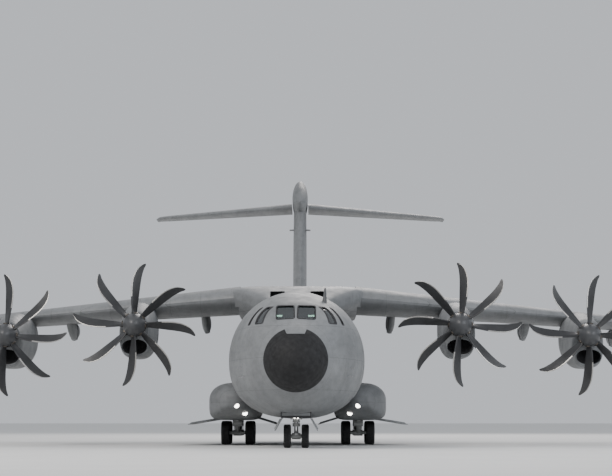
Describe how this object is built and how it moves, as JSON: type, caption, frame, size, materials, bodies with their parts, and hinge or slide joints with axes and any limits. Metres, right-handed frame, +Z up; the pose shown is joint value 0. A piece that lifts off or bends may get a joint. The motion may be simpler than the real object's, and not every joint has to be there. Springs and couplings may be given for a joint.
{
  "type": "four-engine military transport plane, 1:2 scale model",
  "caption": "High-wing, T-tailed military transport plane on its wheels, with turboprop engines, a rear cargo ramp and a hollow hold, at half size.",
  "frame": {"origin": "middle of the overall length and span, on the ground under the wheels", "axes": "+X to the aircraft's left, +Y to its tail, +Z up"},
  "size_m": [21.1758, 22.55, 7.3368],
  "materials": {
    "painted_skin": "low-sheen grey paint",
    "composite_skin": "low-sheen grey paint over composite",
    "radome_black": "matt black rain-erosion coating",
    "window_glass": "dark, polished",
    "interior_lining": "matt",
    "cargo_floor": "worn matt",
    "panel_plastic": "matt",
    "seat_fabric": "woven",
    "blade_composite": "satin dark grey",
    "engine_metal": "bare, heat-stained",
    "gear_paint": "gloss light grey",
    "tyre_rubber": "matt black"
  },
  "bodies": {
    "airframe": {"radome": "radome_black", "nose_section": "painted_skin", "cockpit_glass": "window_glass", "cockpit_deck": "interior_lining", "instrument_panel": "panel_plastic", "pilot_seats": "seat_fabric", "forward_fuselage": "painted_skin", "center_fuselage": "painted_skin", "rear_fuselage": "painted_skin", "tail_cone": "composite_skin", "cargo_floor": "cargo_floor", "wing_fairing": "painted_skin", "fin": "composite_skin", "nose_gear_strut": "gear_paint", "wing_left": "painted_skin", "sponson_left": "painted_skin", "outer_gear_doors_left": "composite_skin", "inner_gear_doors_left": "composite_skin", "nose_gear_door_left": "composite_skin", "main_gear_legs_left": "gear_paint", "nacelle_left_outer": "painted_skin", "engine_left_outer": "engine_metal", "nacelle_left_inner": "painted_skin", "engine_left_inner": "engine_metal", "wing_right": "painted_skin", "sponson_right": "painted_skin", "outer_gear_doors_right": "composite_skin", "inner_gear_doors_right": "composite_skin", "nose_gear_door_right": "composite_skin", "main_gear_legs_right": "gear_paint", "nacelle_right_outer": "painted_skin", "engine_right_outer": "engine_metal", "nacelle_right_inner": "painted_skin", "engine_right_inner": "engine_metal"},
    "tailplane": {"tailplane_left": "composite_skin", "tailplane_right": "composite_skin"},
    "crew_door": {"crew_door": "painted_skin"},
    "cargo_ramp": {"cargo_ramp": "painted_skin"},
    "cargo_door": {"cargo_door": "painted_skin"},
    "rudder": {"rudder": "composite_skin"},
    "nose_gear_fork": {"nose_gear_fork": "gear_paint"},
    "nose_wheels": {"nose_wheels": "tyre_rubber"},
    "aileron_left": {"aileron_left": "painted_skin"},
    "inner_flap_left": {"inner_flap_left": "painted_skin"},
    "outer_flap_left": {"outer_flap_left": "painted_skin"},
    "elevator_left": {"elevator_left": "composite_skin"},
    "main_wheels_left_1": {"main_wheels_left_1": "tyre_rubber"},
    "main_wheels_left_2": {"main_wheels_left_2": "tyre_rubber"},
    "main_wheels_left_3": {"main_wheels_left_3": "tyre_rubber"},
    "propeller_left_outer": {"propeller_left_outer": "blade_composite"},
    "propeller_left_inner": {"propeller_left_inner": "blade_composite"},
    "aileron_right": {"aileron_right": "painted_skin"},
    "inner_flap_right": {"inner_flap_right": "painted_skin"},
    "outer_flap_right": {"outer_flap_right": "painted_skin"},
    "elevator_right": {"elevator_right": "composite_skin"},
    "main_wheels_right_1": {"main_wheels_right_1": "tyre_rubber"},
    "main_wheels_right_2": {"main_wheels_right_2": "tyre_rubber"},
    "main_wheels_right_3": {"main_wheels_right_3": "tyre_rubber"},
    "propeller_right_outer": {"propeller_right_outer": "blade_composite"},
    "propeller_right_inner": {"propeller_right_inner": "blade_composite"}
  },
  "joints": [
    {"name": "crew_door_hinge", "type": "hinge", "parent": "airframe", "child": "crew_door", "pos_m": [1.1265, -7.6, 1.025], "axis": [0, 1, 0], "range_deg": [0, 120]},
    {"name": "cargo_ramp_hinge", "type": "hinge", "parent": "airframe", "child": "cargo_ramp", "pos_m": [0, 3.025, 0.9265], "axis": [-1, 0, 0], "range_deg": [0, 28]},
    {"name": "cargo_door_hinge", "type": "hinge", "parent": "airframe", "child": "cargo_door", "pos_m": [0, 8.075, 2.1675], "axis": [-1, 0, 0], "range_deg": [0, 22]},
    {"name": "aileron_hinge_left", "type": "hinge", "parent": "airframe", "child": "aileron_left", "pos_m": [8.12993, -0.18574, 2.7596], "axis": [0.9849, 0.1598, -0.0659], "range_deg": [-25, 25]},
    {"name": "inner_flap_hinge_left", "type": "hinge", "parent": "airframe", "child": "inner_flap_left", "pos_m": [1.44108, -1.11383, 2.69845], "axis": [-0.9918, -0.112, 0.0613], "range_deg": [0, 35]},
    {"name": "outer_flap_hinge_left", "type": "hinge", "parent": "airframe", "child": "outer_flap_left", "pos_m": [4.63754, -0.74978, 2.54577], "axis": [-0.9866, -0.1507, 0.0631], "range_deg": [0, 35]},
    {"name": "aileron_hinge_right", "type": "hinge", "parent": "airframe", "child": "aileron_right", "pos_m": [-8.12993, -0.18574, 2.7596], "axis": [0.9849, -0.1598, 0.0659], "range_deg": [-25, 25]},
    {"name": "inner_flap_hinge_right", "type": "hinge", "parent": "airframe", "child": "inner_flap_right", "pos_m": [-1.44108, -1.11383, 2.69845], "axis": [-0.9918, 0.112, -0.0613], "range_deg": [0, 35]},
    {"name": "outer_flap_hinge_right", "type": "hinge", "parent": "airframe", "child": "outer_flap_right", "pos_m": [-4.63754, -0.74978, 2.54577], "axis": [-0.9866, 0.1507, -0.0631], "range_deg": [0, 35]},
    {"name": "rudder_hinge", "type": "hinge", "parent": "airframe", "child": "rudder", "pos_m": [0, 8.48475, 3.725], "axis": [0, 0.4531, 0.8915], "range_deg": [-25, 25]},
    {"name": "tailplane_trim", "type": "hinge", "parent": "airframe", "child": "tailplane", "pos_m": [0, 9.875, 6.575], "axis": [1, 0, 0], "range_deg": [-4, 8]},
    {"name": "elevator_hinge_left", "type": "hinge", "parent": "tailplane", "child": "elevator_left", "pos_m": [0.47976, 9.9951, 6.5641], "axis": [0.9748, 0.2189, -0.0426], "range_deg": [-25, 20]},
    {"name": "elevator_hinge_right", "type": "hinge", "parent": "tailplane", "child": "elevator_right", "pos_m": [-0.47976, 9.9951, 6.5641], "axis": [0.9748, -0.2189, 0.0426], "range_deg": [-25, 20]},
    {"name": "propeller_left_outer_spin", "type": "hinge", "parent": "airframe", "child": "propeller_left_outer", "pos_m": [6.405, -4.9, 2.42], "axis": [0, 1, 0], "continuous": true},
    {"name": "propeller_left_inner_spin", "type": "hinge", "parent": "airframe", "child": "propeller_left_inner", "pos_m": [3.515, -5.775, 2.61], "axis": [0, 1, 0], "continuous": true},
    {"name": "propeller_right_outer_spin", "type": "hinge", "parent": "airframe", "child": "propeller_right_outer", "pos_m": [-6.405, -4.9, 2.42], "axis": [0, 1, 0], "continuous": true},
    {"name": "propeller_right_inner_spin", "type": "hinge", "parent": "airframe", "child": "propeller_right_inner", "pos_m": [-3.515, -5.775, 2.61], "axis": [0, 1, 0], "continuous": true},
    {"name": "nose_steering", "type": "hinge", "parent": "airframe", "child": "nose_gear_fork", "pos_m": [0, -8.775, 0.55], "axis": [0, 0, 1], "range_deg": [-65, 65]},
    {"name": "nose_wheels_spin", "type": "hinge", "parent": "nose_gear_fork", "child": "nose_wheels", "pos_m": [0, -8.775, 0.2375], "axis": [1, 0, 0], "continuous": true},
    {"name": "main_wheels_left_1_spin", "type": "hinge", "parent": "airframe", "child": "main_wheels_left_1", "pos_m": [1.38, -2.675, 0.2725], "axis": [1, 0, 0], "continuous": true},
    {"name": "main_wheels_left_2_spin", "type": "hinge", "parent": "airframe", "child": "main_wheels_left_2", "pos_m": [1.38, -1.85, 0.2725], "axis": [1, 0, 0], "continuous": true},
    {"name": "main_wheels_left_3_spin", "type": "hinge", "parent": "airframe", "child": "main_wheels_left_3", "pos_m": [1.38, -1.025, 0.2725], "axis": [1, 0, 0], "continuous": true},
    {"name": "main_wheels_right_1_spin", "type": "hinge", "parent": "airframe", "child": "main_wheels_right_1", "pos_m": [-1.38, -2.675, 0.2725], "axis": [1, 0, 0], "continuous": true},
    {"name": "main_wheels_right_2_spin", "type": "hinge", "parent": "airframe", "child": "main_wheels_right_2", "pos_m": [-1.38, -1.85, 0.2725], "axis": [1, 0, 0], "continuous": true},
    {"name": "main_wheels_right_3_spin", "type": "hinge", "parent": "airframe", "child": "main_wheels_right_3", "pos_m": [-1.38, -1.025, 0.2725], "axis": [1, 0, 0], "continuous": true}
  ]
}
